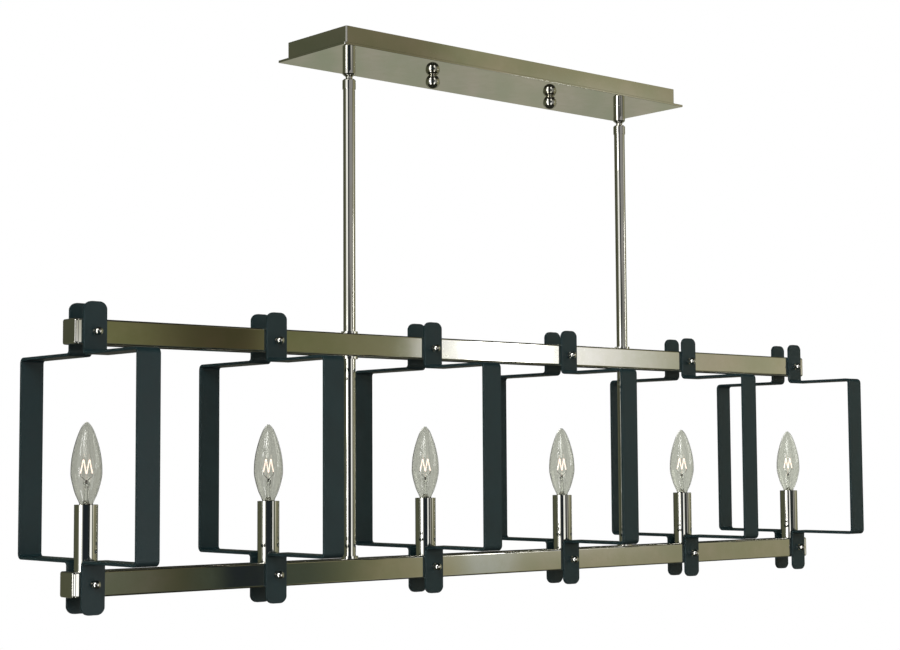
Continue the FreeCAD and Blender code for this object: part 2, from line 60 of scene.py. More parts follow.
class Finish:
    """A material under construction: add nodes, wire them, and end with the shader on the surface."""

    def __init__(self, name):
        self.material = bpy.data.materials.new(name)
        self.material.use_nodes = True
        self.tree = self.material.node_tree
        self.tree.nodes.clear()
        self.output = self.tree.nodes.new("ShaderNodeOutputMaterial")

    def node(self, kind, settings=None, **inputs):
        """Adds one node; settings are its options, inputs its socket values or the sockets wired in."""
        made = self.tree.nodes.new("ShaderNode" + kind)
        for key, value in (settings or {}).items():
            setattr(made, key, value)
        for key, value in inputs.items():
            label = key.replace("_", " ")
            socket = made.inputs[int(key[1:])] if key[1:].isdigit() else made.inputs[label]
            if isinstance(value, bpy.types.NodeSocket):
                self.tree.links.new(value, socket)
            else:
                socket.default_value = value
        return made

    def coordinates(self):
        return self.node("TexCoord").outputs["Object"]

    def stretched(self, scale):
        """Object coordinates multiplied along X, Y and Z, so that a pattern runs one way."""
        return self.node("Mapping", Vector=self.coordinates(), Scale=scale).outputs["Vector"]

    def spread(self, value, low, high, start=0.3, stop=0.7):
        """Moves a 0 to 1 pattern into the range from low to high."""
        made = self.node("MapRange", i0=value, i1=start, i2=stop, i3=low, i4=high)
        return made.outputs["Result"]

    def mix(self, share, first, second, kind="MIX"):
        """The first colour where share is 0 and the second where it is 1."""
        made = self.node("Mix", {"data_type": "RGBA", "blend_type": kind}, i0=share, i6=first, i7=second)
        return made.outputs[2]

    def surface(self, shader):
        self.tree.links.new(shader, self.output.inputs["Surface"])
        return self.material


def rgb(red, green, blue):
    """A colour written as screen values from 0 to 255, turned into the linear values that nodes take."""
    screen = np.array([red, green, blue]) / 255
    linear = np.where(screen <= 0.04045, screen / 12.92, ((screen + 0.055) / 1.055) ** 2.4)
    return (*[float(v) for v in linear], 1.0)


print("material helpers ready")

# %% [markdown]
# ## Polished nickel
# Nickel is a warm white metal: it reflects most of the light, and a little less of the blue.
# Plating follows the ground steel under it, so a real bar has faint polishing lines along its length
# and a slow waviness that bends reflections. Both are too shallow to model, so they are a bump.
# Handling leaves a thin film in clouds, which dulls the gloss and warms the colour where it lies.

# %% Nickel finishes
NICKEL = (0.80, 0.785, 0.745, 1.0)
NICKEL_FILMED = (0.755, 0.745, 0.675, 1.0)


def nickel(name, grain, line_depth):
    """Polished nickel whose polishing lines follow the direction in which grain is small."""
    f = Finish(name)
    lines = f.node("TexNoise", Vector=f.stretched(grain), Scale=1.0, Detail=4.0, Roughness=0.6)
    waves = f.node("TexNoise", Vector=f.coordinates(), Scale=26.0, Detail=1.0)
    film = f.node("TexNoise", Vector=f.coordinates(), Scale=60.0, Detail=5.0, Roughness=0.65)
    ripple = f.node("Bump", Height=waves.outputs["Fac"], Strength=0.12, Distance=0.12 * MM)
    scratch = f.node("Bump", Height=lines.outputs["Fac"], Normal=ripple.outputs["Normal"],
                     Strength=line_depth, Distance=0.01 * MM)
    gloss = f.spread(film.outputs["Fac"], 0.02, 0.055)
    tone = f.mix(f.spread(film.outputs["Fac"], 0.0, 1.0, 0.35, 0.65), NICKEL, NICKEL_FILMED)
    shader = f.node("BsdfPrincipled", Base_Color=tone, Metallic=1.0, Roughness=gloss,
                    Normal=scratch.outputs["Normal"])
    return f.surface(shader.outputs["BSDF"])


nickel_bar = nickel("nickel_bar", (30.0, 900.0, 900.0), 0.12)
nickel_upright = nickel("nickel_upright", (900.0, 900.0, 30.0), 0.1)
nickel_turned = nickel("nickel_turned", (500.0, 500.0, 900.0), 0.1)
print("nickel:", nickel_bar.name, nickel_upright.name, nickel_turned.name)

# %% [markdown]
# ## Black paint, zinc, and the small parts inside
# The straps wear a fine satin powder coat: nearly black with a cold green-blue cast, and a little
# orange peel. Zinc plates the hidden steel, a green lacquer marks the earth screw, and wires and
# sockets are plastic. One function serves all the coats, because they differ only in tone and gloss.

# %% Paint, zinc and plastic finishes
def coated(name, colour, darker, gloss_range, peel):
    """Powder coat: two close tones in slow clouds, satin gloss, and a fine orange peel."""
    f = Finish(name)
    cloud = f.node("TexNoise", Vector=f.coordinates(), Scale=35.0, Detail=4.0)
    tone = f.mix(f.spread(cloud.outputs["Fac"], 0.0, 1.0), darker, colour)
    grain = f.node("TexNoise", Vector=f.coordinates(), Scale=1400.0, Detail=2.0)
    skin = f.node("Bump", Height=grain.outputs["Fac"], Strength=peel, Distance=0.03 * MM)
    gloss = f.spread(cloud.outputs["Fac"], *gloss_range)
    shader = f.node("BsdfPrincipled", Base_Color=tone, Roughness=gloss, Normal=skin.outputs["Normal"])
    return f.surface(shader.outputs["BSDF"])


def zinc(name):
    """Zinc plate: bluish steel with fine directionless grain."""
    f = Finish(name)
    grain = f.node("TexNoise", Vector=f.coordinates(), Scale=600.0, Detail=5.0)
    bump = f.node("Bump", Height=grain.outputs["Fac"], Strength=0.3, Distance=0.02 * MM)
    shader = f.node("BsdfPrincipled", Base_Color=(0.52, 0.54, 0.56, 1.0), Metallic=1.0,
                    Roughness=f.spread(grain.outputs["Fac"], 0.25, 0.4), Normal=bump.outputs["Normal"])
    return f.surface(shader.outputs["BSDF"])


strap_black = coated("strap_black", rgb(21, 42, 45), rgb(17, 36, 39), (0.42, 0.5), 0.35)
earth_green = coated("earth_green", rgb(40, 110, 62), rgb(34, 98, 54), (0.35, 0.45), 0.1)
wire_sleeve = coated("wire_sleeve", rgb(48, 48, 48), rgb(40, 40, 41), (0.5, 0.6), 0.2)
socket_shell = coated("socket_shell", rgb(226, 220, 202), rgb(214, 208, 190), (0.5, 0.6), 0.2)
zinc_plate = zinc("zinc_plate")
print("paint and plastic:", strap_black.name, earth_green.name, wire_sleeve.name, socket_shell.name)

# %% [markdown]
# ## Give every solid its finish
# The solids carry placeholder materials. Which finish a node takes follows from its name: bars have
# lines along X, rods and sleeves along Z, and round turned parts have none to speak of.

# %% Assign finishes to the solids
FINISH_BY_NAME = [
    ("hoop_ball_nuts", nickel_turned), ("hoop_bolts", zinc_plate), ("hoop_", strap_black),
    ("upper_bar", nickel_bar), ("lower_bar", nickel_bar), ("canopy_pan", nickel_bar),
    ("canopy_plate", nickel_bar), ("downrod", nickel_upright), ("spacer_tube", nickel_upright),
    ("candle_sleeve", nickel_upright), ("rod_rings", nickel_turned), ("canopy_knob", nickel_turned),
    ("swivel_socket", nickel_turned), ("swivel_stem", nickel_turned), ("ground_screw", earth_green),
    ("supply_leads", wire_sleeve), ("lamp_leads", wire_sleeve), ("lamp_socket", socket_shell),
]


def finish_for(name):
    for start, material in FINISH_BY_NAME:
        if name.startswith(start):
            return material
    return zinc_plate


for name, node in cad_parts.items():
    for place in node.material_slots:
        place.material = finish_for(name)
print("finishes given to", len(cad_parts), "solids")

# %% [markdown]
# ## Surfaces from arrays
# A turned part is a profile carried round an axis: every point of the profile, times every angle,
# gives one grid of points. A wire is a small circle carried along a path. Both are grids, so one
# function makes the mesh from a grid, and numpy works out all the points at once.

# %% Mesh helpers
def mesh_from_grid(name, grid, wrap, caps=False):
    """Quads between neighbours in a grid of points (rows, columns, 3).

    With wrap the last column joins the first; with caps the first and last rows are closed.
    """
    rows, columns = grid.shape[:2]
    index = np.arange(rows * columns).reshape(rows, columns)
    following = np.roll(index, -1, axis=1)
    if not wrap:
        index, following = index[:, :-1], following[:, :-1]
    quads = np.stack([index[:-1], following[:-1], following[1:], index[1:]], axis=-1).reshape(-1, 4)
    faces = quads.tolist()
    if caps:
        faces += [list(range(columns))[::-1], list(range((rows - 1) * columns, rows * columns))]
    mesh = bpy.data.meshes.new(name)
    mesh.from_pydata(grid.reshape(-1, 3).tolist(), [], faces)
    mesh.validate()
    mesh.update()
    return mesh


def join_grids(name, meshes):
    """One smooth object at the origin from several meshes, doubled points merged, normals outward."""
    work = bmesh.new()
    for part in meshes:
        work.from_mesh(part)
        bpy.data.meshes.remove(part)
    bmesh.ops.remove_doubles(work, verts=work.verts, dist=1e-7)
    bmesh.ops.dissolve_degenerate(work, edges=work.edges, dist=1e-8)
    bmesh.ops.recalc_face_normals(work, faces=work.faces)
    mesh = bpy.data.meshes.new(name)
    work.to_mesh(mesh)
    work.free()
    mesh.polygons.foreach_set("use_smooth", np.full(len(mesh.polygons), True))
    made = bpy.data.objects.new(name, mesh)
    bpy.context.scene.collection.objects.link(made)
    return made


def turned_about(made, x, degrees):
    """Turns an object's points about the upright axis through (x, 0); the object itself stays put."""
    place = Matrix.Translation((x, 0, 0))
    made.data.transform(place @ Matrix.Rotation(math.radians(degrees), 4, "Z") @ place.inverted())
    return made


def smooth_line(points, count):
    """A line through the points whose direction at each is that of its two neighbours (cubic pieces)."""
    p = np.array(points, float)
    slope = np.gradient(p, axis=0)
    t = np.linspace(0, len(p) - 1, count)
    i = np.minimum(t.astype(int), len(p) - 2)
    u = (t - i)[:, None]
    start, end = p[i], p[i + 1]
    return ((2 * u**3 - 3 * u**2 + 1) * start + (u**3 - 2 * u**2 + u) * slope[i]
            + (3 * u**2 - 2 * u**3) * end + (u**3 - u**2) * slope[i + 1])


def turned_grid(profile, centre, around=48, flatten=None):
    """x = cx + r cos a, y = cy + r f sin a, z = h: a profile (r, h) carried round a vertical axis."""
    angle = np.linspace(0, 2 * np.pi, around, endpoint=False)[None, :]
    r, h = profile[:, 0][:, None], profile[:, 1][:, None]
    squeeze = 1.0 if flatten is None else flatten[:, None]
    x = centre[0] + r * np.cos(angle)
    y = centre[1] + r * squeeze * np.sin(angle)
    return np.stack([x, y, np.broadcast_to(h, x.shape)], axis=-1)


def tube_grid(path, radius, around=8):
    """A circle carried along a path: each ring lies square to the path's direction there."""
    along = np.gradient(path, axis=0)
    along /= np.linalg.norm(along, axis=1)[:, None]
    side = np.cross(along, np.array([0.03, 1.0, 0.02]))
    side /= np.linalg.norm(side, axis=1)[:, None]
    up = np.cross(side, along)
    angle = np.linspace(0, 2 * np.pi, around, endpoint=False)[None, :, None]
    return path[:, None] + radius * (np.cos(angle) * side[:, None] + np.sin(angle) * up[:, None])


print("mesh helpers ready")

# %% [markdown]
# ## The lamps
# Each lamp is a torpedo candle lamp of faintly smoky glass. Its parts are a thin blown envelope, a glass
# stem sealed into the neck and pinched flat at the top, two lead wires with their bead, a coiled
# filament hung in a zigzag, and the threaded shell that screws into the socket. Heights are counted
# from the neck, where the glass meets the shell.

# %% Lamp sizes, in millimetres unless MM is applied
LAMP_X = [(-540.0 + 216.0 * n) * MM for n in range(6)]
NECK_Z = -508.6 * MM
ENVELOPE = [(6.3, 0.0), (6.9, 3.4), (10.9, 12.5), (14.1, 24.0), (15.3, 33.0),
            (14.3, 47.5), (10.9, 62.5), (6.1, 75.5), (1.8, 81.4), (0.0, 81.9)]
GLASS_T = 0.7
STEM_H = 24.0
PINCH_FROM = 15.0
PINCH_OVER = 5.0
PINCH_DEPTH = 0.55
LEAD_R = 0.24
FILAMENT_LOW = STEM_H + 8.0
FILAMENT_TOP = STEM_H + 21.0
FILAMENT_HALF = 5.8
STEM_TURNS = [-28.0, -62.0, -35.0, -15.0, -52.0, -78.0]    # degrees about each lamp's own axis
SHELL_R = 5.93
THREAD_TOP = -2.5
THREAD_FOOT = -13.0
THREAD_PITCH = 2.54
THREAD_DEPTH = 0.28
print("lamp height", ENVELOPE[-1][1], "mm")

# %% [markdown]
# ## Glass and wire
# Thin glass is nearly colourless face on. Edge on, the facing angle darkens its tint: painted shade that
# stands in for the dark room reflected along each lamp's outline, and partly for the longer path through
# the glass. The left lamps are a little darker than the right ones, which a slow change along X gives.
# The filament glows by itself; the wires under it are dull, because heat has browned them.

# %% Lamp glass, wires and filament finishes
def clear_glass(name, left_tint, right_tint, edge_shade):
    """Glass whose tint runs from the left lamp to the right one, with painted shade where it is seen edge
    on.
    """
    f = Finish(name)
    flow = f.node("TexNoise", Vector=f.stretched((60.0, 60.0, 18.0)), Scale=1.0, Detail=1.0)
    wave = f.node("Bump", Height=flow.outputs["Fac"], Strength=0.06, Distance=0.15 * MM)
    film = f.node("TexNoise", Vector=f.coordinates(), Scale=90.0, Detail=4.0)
    along = f.node("SeparateXYZ", Vector=f.coordinates()).outputs["X"]
    tint = f.mix(f.spread(along, 0.0, 1.0, LAMP_X[0], LAMP_X[-1]), left_tint, right_tint)
    # painted shade: the facing angle darkens the tint at the outline, for the dark room reflected there
    facing = f.node("LayerWeight", Blend=0.5).outputs["Facing"]
    edge_shaded = f.mix(f.spread(facing, 0.0, 1.0, 0.62, 0.95), tint, edge_shade)
    shader = f.node("BsdfPrincipled", Base_Color=edge_shaded, IOR=1.5, Transmission_Weight=1.0,
                    Roughness=f.spread(film.outputs["Fac"], 0.0, 0.01), Normal=wave.outputs["Normal"])
    return f.surface(shader.outputs["BSDF"])


def hot_wire(name):
    """Drawn tungsten that glows by itself, a little redder than white."""
    f = Finish(name)
    grain = f.node("TexNoise", Vector=f.coordinates(), Scale=2500.0, Detail=3.0)
    shader = f.node("BsdfPrincipled", Base_Color=(0.75, 0.55, 0.45, 1.0), Metallic=1.0,
                    Roughness=f.spread(grain.outputs["Fac"], 0.3, 0.5),
                    Emission_Color=(1.0, 0.84, 0.79, 1.0), Emission_Strength=2.0)
    return f.surface(shader.outputs["BSDF"])


def dull_wire(name):
    """Lead wire that the lamp's own heat has browned."""
    f = Finish(name)
    grain = f.node("TexNoise", Vector=f.coordinates(), Scale=900.0, Detail=3.0)
    tone = f.mix(f.spread(grain.outputs["Fac"], 0.0, 1.0), (0.10, 0.09, 0.08, 1.0),
                 (0.18, 0.16, 0.14, 1.0))
    shader = f.node("BsdfPrincipled", Base_Color=tone, Metallic=0.8,
                    Roughness=f.spread(grain.outputs["Fac"], 0.3, 0.5))
    return f.surface(shader.outputs["BSDF"])


lamp_glass = clear_glass("lamp_glass", (0.60, 0.605, 0.56, 1.0), (0.70, 0.71, 0.655, 1.0),
                         (0.22, 0.22, 0.17, 1.0))
stem_glass = clear_glass("stem_glass", (0.95, 0.955, 0.94, 1.0), (0.95, 0.955, 0.94, 1.0),
                         (0.80, 0.81, 0.78, 1.0))
filament_glow = hot_wire("filament_glow")
lead_wire = dull_wire("lead_wire")
print("lamp finishes:", lamp_glass.name, stem_glass.name, filament_glow.name, lead_wire.name)

# %% [markdown]
# ## Envelope and stem
# A blown envelope has two surfaces, and both bend the light. A single skin would look like solid glass,
# so the envelope is one profile: down the inside from the tip, round the rim of the neck, and up the
# outside. The stem is a flared tube, pressed flat at its top while soft, so that it grips the wires.

# %% Envelope and stem
def envelope_mesh(x):
    """Outer line through the envelope's points; the inner line is the same moved in along its normal."""
    outer = smooth_line(ENVELOPE, 70)
    along = np.gradient(outer, axis=0)
    inward = np.stack([-along[:, 1], along[:, 0]], axis=1)
    inward /= np.linalg.norm(inward, axis=1)[:, None]
    inner = outer + GLASS_T * inward
    inner[-1] = (0.0, ENVELOPE[-1][1] - GLASS_T)
    inner[0, 1] = 0.0
    inner[:, 0] = np.maximum(inner[:, 0], 0.0)
    profile = np.concatenate([inner[::-1], outer]) * MM
    profile[:, 1] += NECK_Z
    return mesh_from_grid("envelope", turned_grid(profile, (x, 0.0), around=64), wrap=True)


def stem_mesh(x):
    """Flare at the neck, a thin tube above it, and a flat pinch at the top that grips the wires."""
    line = [(0.0, 0.3), (5.4, 0.3), (5.3, 1.0), (3.4, 3.6), (2.2, 6.5), (2.0, 11.0), (2.1, 16.0),
            (3.0, STEM_H - 4.0), (3.1, STEM_H - 1.2), (2.4, STEM_H - 0.2), (0.0, STEM_H)]
    profile = smooth_line(line, 60) * MM
    height = profile[:, 1] / MM
    flatten = 1.0 - PINCH_DEPTH * np.clip((height - PINCH_FROM) / PINCH_OVER, 0, 1)
    profile[:, 0] = np.maximum(profile[:, 0], 0.0)
    profile[:, 1] += NECK_Z
    grid = turned_grid(profile, (x, 0.0), around=32, flatten=flatten)
    return mesh_from_grid("stem", grid, wrap=True)


print("envelope and stem ready; glass", GLASS_T, "mm thick")

# %% [markdown]
# ## Lead wires and filament
# Two wires leave the pinch, where a bead seals them, and spread to the ends of the filament. The
# filament is a fine coil whose line zigzags up and down, so it is a helix wound about a zigzag.

# %% Lead wires and filament
def lead_meshes(x):
    """Two wires carried along smooth lines from the pinch to the filament, and a turned bead."""
    made = []
    for side in (-1, 1):
        path = smooth_line([(side * 0.9, 0, STEM_H - 6), (side * 1.0, 0, STEM_H + 0.5),
                            (side * 3.4, 0, STEM_H + 3.5), (side * 5.6, 0, FILAMENT_LOW - 2.5),
                            (side * 6.1, 0, FILAMENT_LOW + 0.6)], 24) * MM
        path += np.array([x, 0.0, NECK_Z])
        made.append(mesh_from_grid("lead", tube_grid(path, LEAD_R * MM), wrap=True, caps=True))
    bead = smooth_line([(0.0, STEM_H - 2.2), (0.8, STEM_H - 1.6), (1.1, STEM_H - 0.2),
                        (0.8, STEM_H + 1.2), (0.0, STEM_H + 1.8)], 16) * MM
    bead[:, 0] = np.maximum(bead[:, 0], 0.0)
    bead[:, 1] += NECK_Z
    made.append(mesh_from_grid("bead", turned_grid(bead, (x, 0.0), around=20), wrap=True))
    return made


def filament_mesh(x):
    """A helix about a zigzag: each point of the zigzag plus a circle that turns once for every coil."""
    coils, coil_r, wire_r = 100, 0.6, 0.15
    middle = (FILAMENT_LOW + FILAMENT_TOP) / 2
    heights = [FILAMENT_LOW, middle, FILAMENT_TOP, middle, FILAMENT_LOW, middle, FILAMENT_TOP, middle,
               FILAMENT_LOW]
    across = np.linspace(-FILAMENT_HALF, FILAMENT_HALF, len(heights))
    zig = smooth_line([(side, 0, height) for side, height in zip(across, heights)], coils * 10)
    along = np.gradient(zig, axis=0)
    along /= np.linalg.norm(along, axis=1)[:, None]
    side = np.cross(along, np.array([0.0, 1.0, 0.0]))
    turn = np.linspace(0, 2 * np.pi * coils, len(zig))[:, None]
    helix = zig + coil_r * (np.cos(turn) * side + np.sin(turn) * np.array([0.0, 1.0, 0.0]))
    path = helix * MM + np.array([x, 0.0, NECK_Z])
    return mesh_from_grid("filament", tube_grid(path, wire_r * MM, around=5), wrap=True, caps=True)


print("wires and filament ready; filament", FILAMENT_TOP - FILAMENT_LOW, "mm high")

# %% [markdown]
# ## The threaded shell
# The base is thin metal with a thread rolled into it. A rolled thread has round crests, so the radius
# follows a cosine of height and angle and dies away at both ends. A collar closes it above, and the
# insulator with its contact button below.

# %% Screw shell
def screw_shell_meshes(x):
    """Radius = shell radius + depth times cos(2 pi height / pitch - angle): the rolled thread."""
    rows, around, run_out = 90, 64, 1.2
    h = np.linspace(THREAD_FOOT, THREAD_TOP, rows)[:, None]
    angle = np.linspace(0, 2 * np.pi, around, endpoint=False)[None, :]
    fade = np.clip(np.minimum(h - THREAD_FOOT, THREAD_TOP - h) / run_out, 0, 1)
    r = SHELL_R - THREAD_DEPTH + THREAD_DEPTH * fade * np.cos(2 * np.pi * h / THREAD_PITCH - angle)
    thread = np.stack([x + r * MM * np.cos(angle), r * MM * np.sin(angle),
                       NECK_Z + np.broadcast_to(h, r.shape) * MM], axis=-1)
    collar = np.array([(5.65, THREAD_TOP), (6.1, -2.0), (6.2, -0.4), (6.0, 0.0), (0.0, 0.0)])
    button = np.array([(0.0, -17.4), (1.6, -17.4), (3.0, -16.7), (4.2, -14.5), (5.65, THREAD_FOOT)])
    shapes = [mesh_from_grid("thread", thread, wrap=True)]
    for line in (collar, button):
        profile = line * MM
        profile[:, 1] += NECK_Z
        shapes.append(mesh_from_grid("turned", turned_grid(profile, (x, 0.0), around), wrap=True))
    return shapes


print("screw shell ready; pitch", THREAD_PITCH, "mm")

# %% [markdown]
# ## Put the lamps together
# Each lamp's pieces ride on that lamp's own body, so that they turn with it in the socket. A lamp stops
# wherever its thread ends, so each one's stem and filament face another way.

# %% Make the six lamps
def inner_piece(kind, number, meshes):
    """A piece inside the glass, turned as the lamp happens to sit in its thread."""
    made = join_grids(f"{kind}_{number}", meshes)
    return turned_about(made, LAMP_X[number - 1], STEM_TURNS[number - 1])


for number, x in enumerate(LAMP_X, start=1):
    body = f"lamp_{number}"
    pieces = {
        "lamp_envelope": (join_grids(f"lamp_envelope_{number}", [envelope_mesh(x)]), lamp_glass,
                          "lamp_glass"),
        "lamp_stem": (inner_piece("lamp_stem", number, [stem_mesh(x)]), stem_glass, "lamp_glass"),
        "lamp_wires": (inner_piece("lamp_wires", number, lead_meshes(x)), lead_wire, "zinc_steel"),
        "lamp_filament": (inner_piece("lamp_filament", number, [filament_mesh(x)]), filament_glow,
                          "zinc_steel"),
        "lamp_base": (join_grids(f"lamp_base_{number}", screw_shell_meshes(x)), nickel_turned,
                      "polished_nickel"),
    }
    for made, material, slot in pieces.values():
        made.data.materials.append(material)
        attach(made, body)
    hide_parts(f"bulb_{number}")
print("lamps made:", len(LAMP_X))

# %% [markdown]
# ## The studio that the nickel sees
# Polished metal has almost no colour of its own; it shows the room. So the room is built as one very
# big sphere that only reflections see, and its light depends on the direction alone: a tall soft window
# to the left, dusk beside it, grey in front, then olive and beige walls with a narrow bright window, and
# dim walls behind. Ceiling and ground are dark, because that is what draws the thin dark line along
# every rounded edge.

# %% Studio tones
DOME_R = 40.0
BACK_WALL = (0.088, 0.094, 0.061, 1.0)
RIGHT_WALL = (0.17, 0.175, 0.125, 1.0)
GROUND_BEHIND = (0.285, 0.29, 0.235, 1.0)
BEIGE_WALL = (0.275, 0.265, 0.175, 1.0)
BEIGE_LIT = (0.37, 0.355, 0.26, 1.0)
HIGH_WALL = (0.165, 0.152, 0.094, 1.0)
OLIVE_WALL = (0.146, 0.147, 0.074, 1.0)
OLIVE_SHADE = (0.062, 0.055, 0.028, 1.0)
FRONT_GREY = (0.30, 0.295, 0.30, 1.0)
DUSK = (0.018, 0.024, 0.029, 1.0)
CEILING = (0.022, 0.022, 0.018, 1.0)
GROUND = (0.02, 0.02, 0.014, 1.0)
STAND = (0.018, 0.023, 0.025, 1.0)
BACK_SHADE = (0.054, 0.057, 0.04, 1.0)
LOW_SHADE = (0.058, 0.070, 0.049, 1.0)
LOW_GREY = (0.135, 0.142, 0.10, 1.0)
LOW_GLINT = (0.38, 0.395, 0.34, 1.0)
WINDOW = (1.12, 1.12, 1.10, 1.0)
WINDOW_CORE = (9.0, 9.0, 8.8, 1.0)
UNDER_SHADE = (0.02, 0.02, 0.015, 1.0)
print("window", WINDOW[0], "and its core", WINDOW_CORE[0], "times white")

# %% [markdown]
# ## Painting by direction
# On so big a sphere a point's place is nearly its direction. Azimuth and elevation come from that
# direction by arctangent and arcsine, and a band of each, multiplied together, masks one patch of wall.
# Later coats cover earlier ones, as with real paint.

# %% A room painted by direction
def dome_mesh():
    """A sphere: radius times (sin p cos a, sin p sin a, cos p) for every polar and turning angle."""
    polar = np.linspace(0, np.pi, 33)
    profile = np.stack([DOME_R * np.sin(polar), DOME_R * np.cos(polar)], axis=1)
    return mesh_from_grid("studio_dome", turned_grid(profile, (0.0, 0.0), around=64), wrap=True)


class Room(Finish):
    """Light by direction: azimuth in degrees from -Y towards +X, and elevation in degrees."""

    def __init__(self, name, colour):
        super().__init__(name)
        unit = self.node("VectorMath", {"operation": "NORMALIZE"}, i0=self.coordinates())
        self.direction = unit.outputs[0]
        parts = self.node("SeparateXYZ", Vector=self.direction)
        front = self.math("MULTIPLY", parts.outputs["Y"], -1.0)
        turned = self.math("ARCTAN2", parts.outputs["X"], front)
        self.azimuth = self.math("MULTIPLY", turned, math.degrees(1.0))
        raised = self.math("ARCSINE", parts.outputs["Z"])
        self.elevation = self.math("MULTIPLY", raised, math.degrees(1.0))
        self.colour = colour

    def math(self, operation, first, second=0.0):
        """One sum on two numbers, either of which may be a socket."""
        return self.node("Math", {"operation": operation}, i0=first, i1=second).outputs[0]

    def ramp(self, value, start, stop, low, high):
        """Goes smoothly from low to high while the value goes from start to stop."""
        made = self.node("MapRange", {"interpolation_type": "SMOOTHSTEP"}, i0=value, i1=start, i2=stop,
                         i3=low, i4=high)
        return made.outputs["Result"]

    def band(self, value, low, high, soft_low, soft_high):
        """1 between low and high, fading to 0 over the two soft widths."""
        rise = self.ramp(value, low - soft_low, low, 0.0, 1.0)
        fall = self.ramp(value, high, high + soft_high, 1.0, 0.0)
        return self.math("MULTIPLY", rise, fall)

    def paint(self, colour, azimuths, soft, elevations=(-90, 90), soft_up=(1, 1)):
        """Lays one tone over the room between two azimuths and two elevations."""
        mask = self.math("MULTIPLY", self.band(self.azimuth, *azimuths, *soft),
                         self.band(self.elevation, *elevations, *soft_up))
        self.colour = self.mix(mask, self.colour, colour)

    def clutter(self, scale, dim, bright):
        """Clouds of two tints over all that is painted so far, as in an untidy room."""
        cloud = self.node("TexNoise", Vector=self.direction, Scale=scale, Detail=3.0)
        tint = self.mix(self.spread(cloud.outputs["Fac"], 0.0, 1.0), dim, bright)
        self.colour = self.mix(1.0, self.colour, tint, "MULTIPLY")

    def glow(self):
        shader = self.node("Emission", Color=self.colour, Strength=1.0)
        return self.surface(shader.outputs["Emission"])


def seen_by_reflections_only(thing):
    """Hides a studio piece from every ray but the glossy ones, so that only metal and glass show it."""
    for ray in ("camera", "diffuse", "shadow", "transmission", "volume_scatter"):
        setattr(thing, "visible_" + ray, False)


print("room helpers ready")

# %% Walls, clutter and windows
room = Room("studio_room", BACK_WALL)
# behind, which the left ends and the undersides show
room.paint(RIGHT_WALL, (88, 180), (22, 1))
room.paint(GROUND_BEHIND, (95, 180), (20, 1), (-40, -10), (15, 3))
room.paint(UNDER_SHADE, (125, 160), (12, 10), (-7, 6), (3, 3))
# to the right of the front, which the long faces of the bars and the canopy show
room.paint(OLIVE_WALL, (24, 60), (6, 6), (-60, 60), (20, 20))
room.paint(BEIGE_WALL, (43, 72), (8, 16), (-60, 60), (20, 20))
room.paint(BEIGE_LIT, (45, 58), (3, 10), (0, 8), (4, 4))
room.paint(HIGH_WALL, (20, 39.6), (6, 2.2), (9, 40), (2.5, 10))
room.paint(LOW_GREY, (24, 31.5), (6, 1.5), (-30, -1.5), (10, 1.5))
room.paint(OLIVE_SHADE, (33.3, 34.1), (3.6, 1.6), (-60, 25), (20, 20))
# in front and to the left, which rods and sleeves gather into upright stripes
room.paint(FRONT_GREY, (-2, 20), (8, 8), (-60, 30), (20, 12))
room.paint(FRONT_GREY, (-60, 20), (8, 8), (6, 28), (4, 12))
room.paint(DUSK, (-64, -10), (8, 10), (-60, 2), (20, 5))
room.paint(DUSK, (-58, -40), (5, 5), (0, 40), (4, 12))
room.paint(BACK_SHADE, (-180, -157), (1, 12), (3, 40), (3, 10))
room.clutter(7.0, (0.84, 0.86, 0.90, 1.0), (1.16, 1.14, 1.08, 1.0))
room.clutter(70.0, (0.88, 0.94, 0.86, 1.0), (1.12, 1.05, 1.08, 1.0))
# low and narrow things in the room, which the lower bar shows
room.paint(LOW_SHADE, (33.3, 36.0), (1.6, 3.1), (-30, -1.5), (10, 1.5))
room.paint(LOW_GLINT, (42.0, 42.6), (1.1, 1.0), (-20, -1.5), (5, 1))
room.paint(STAND, (33.9, 34.7), (0.8, 1.0), (-12, -2.2), (2, 1.2))
# ceiling, ground and the two windows with their bright panes
room.paint(CEILING, (-180, 180), (1, 1), (36, 90), (14, 1))
room.paint(GROUND, (-180, 180), (1, 1), (-90, -36), (1, 14))
room.paint(WINDOW, (-88, -72), (23, 14), (-40, 45), (10, 10))
room.paint(WINDOW, (41.2, 44.2), (2.0, 5.5), (0.5, 8.5), (5, 4))
for pane in ((-46, -32), (-12, 2), (18, 34)):
    room.paint(WINDOW_CORE, (-87, -82), (3, 3), pane, (4, 3))
room.paint(WINDOW_CORE, (-65, -56), (3, 3), (30, 46), (4, 4))
room.paint(WINDOW_CORE, (42.0, 43.6), (0.5, 0.8), (3, 7), (1, 1))
dome = join_grids("studio_dome", [dome_mesh()])
dome.data.materials.append(room.glow())
seen_by_reflections_only(dome)
print("studio dome", DOME_R, "m")

# %% [markdown]
# ## A soft panel close in front
# The dome is so far off that every sleeve would show the same stripes. A real softbox stands close, so
# each sleeve shows it at another place on its side, and the left ends of the bars catch it too.

# %% Soft panel
PANEL_X = (-0.42, -0.01)
PANEL_Z = (-1.10, -0.36)
PANEL_Y = -0.92
PANEL_SOFT = 0.03
PANEL_SOFT_TOP = 0.20
PANEL_STRENGTH = (1.35, 0.9)
PANEL_BRIGHTER_BELOW = (-0.66, -0.56)


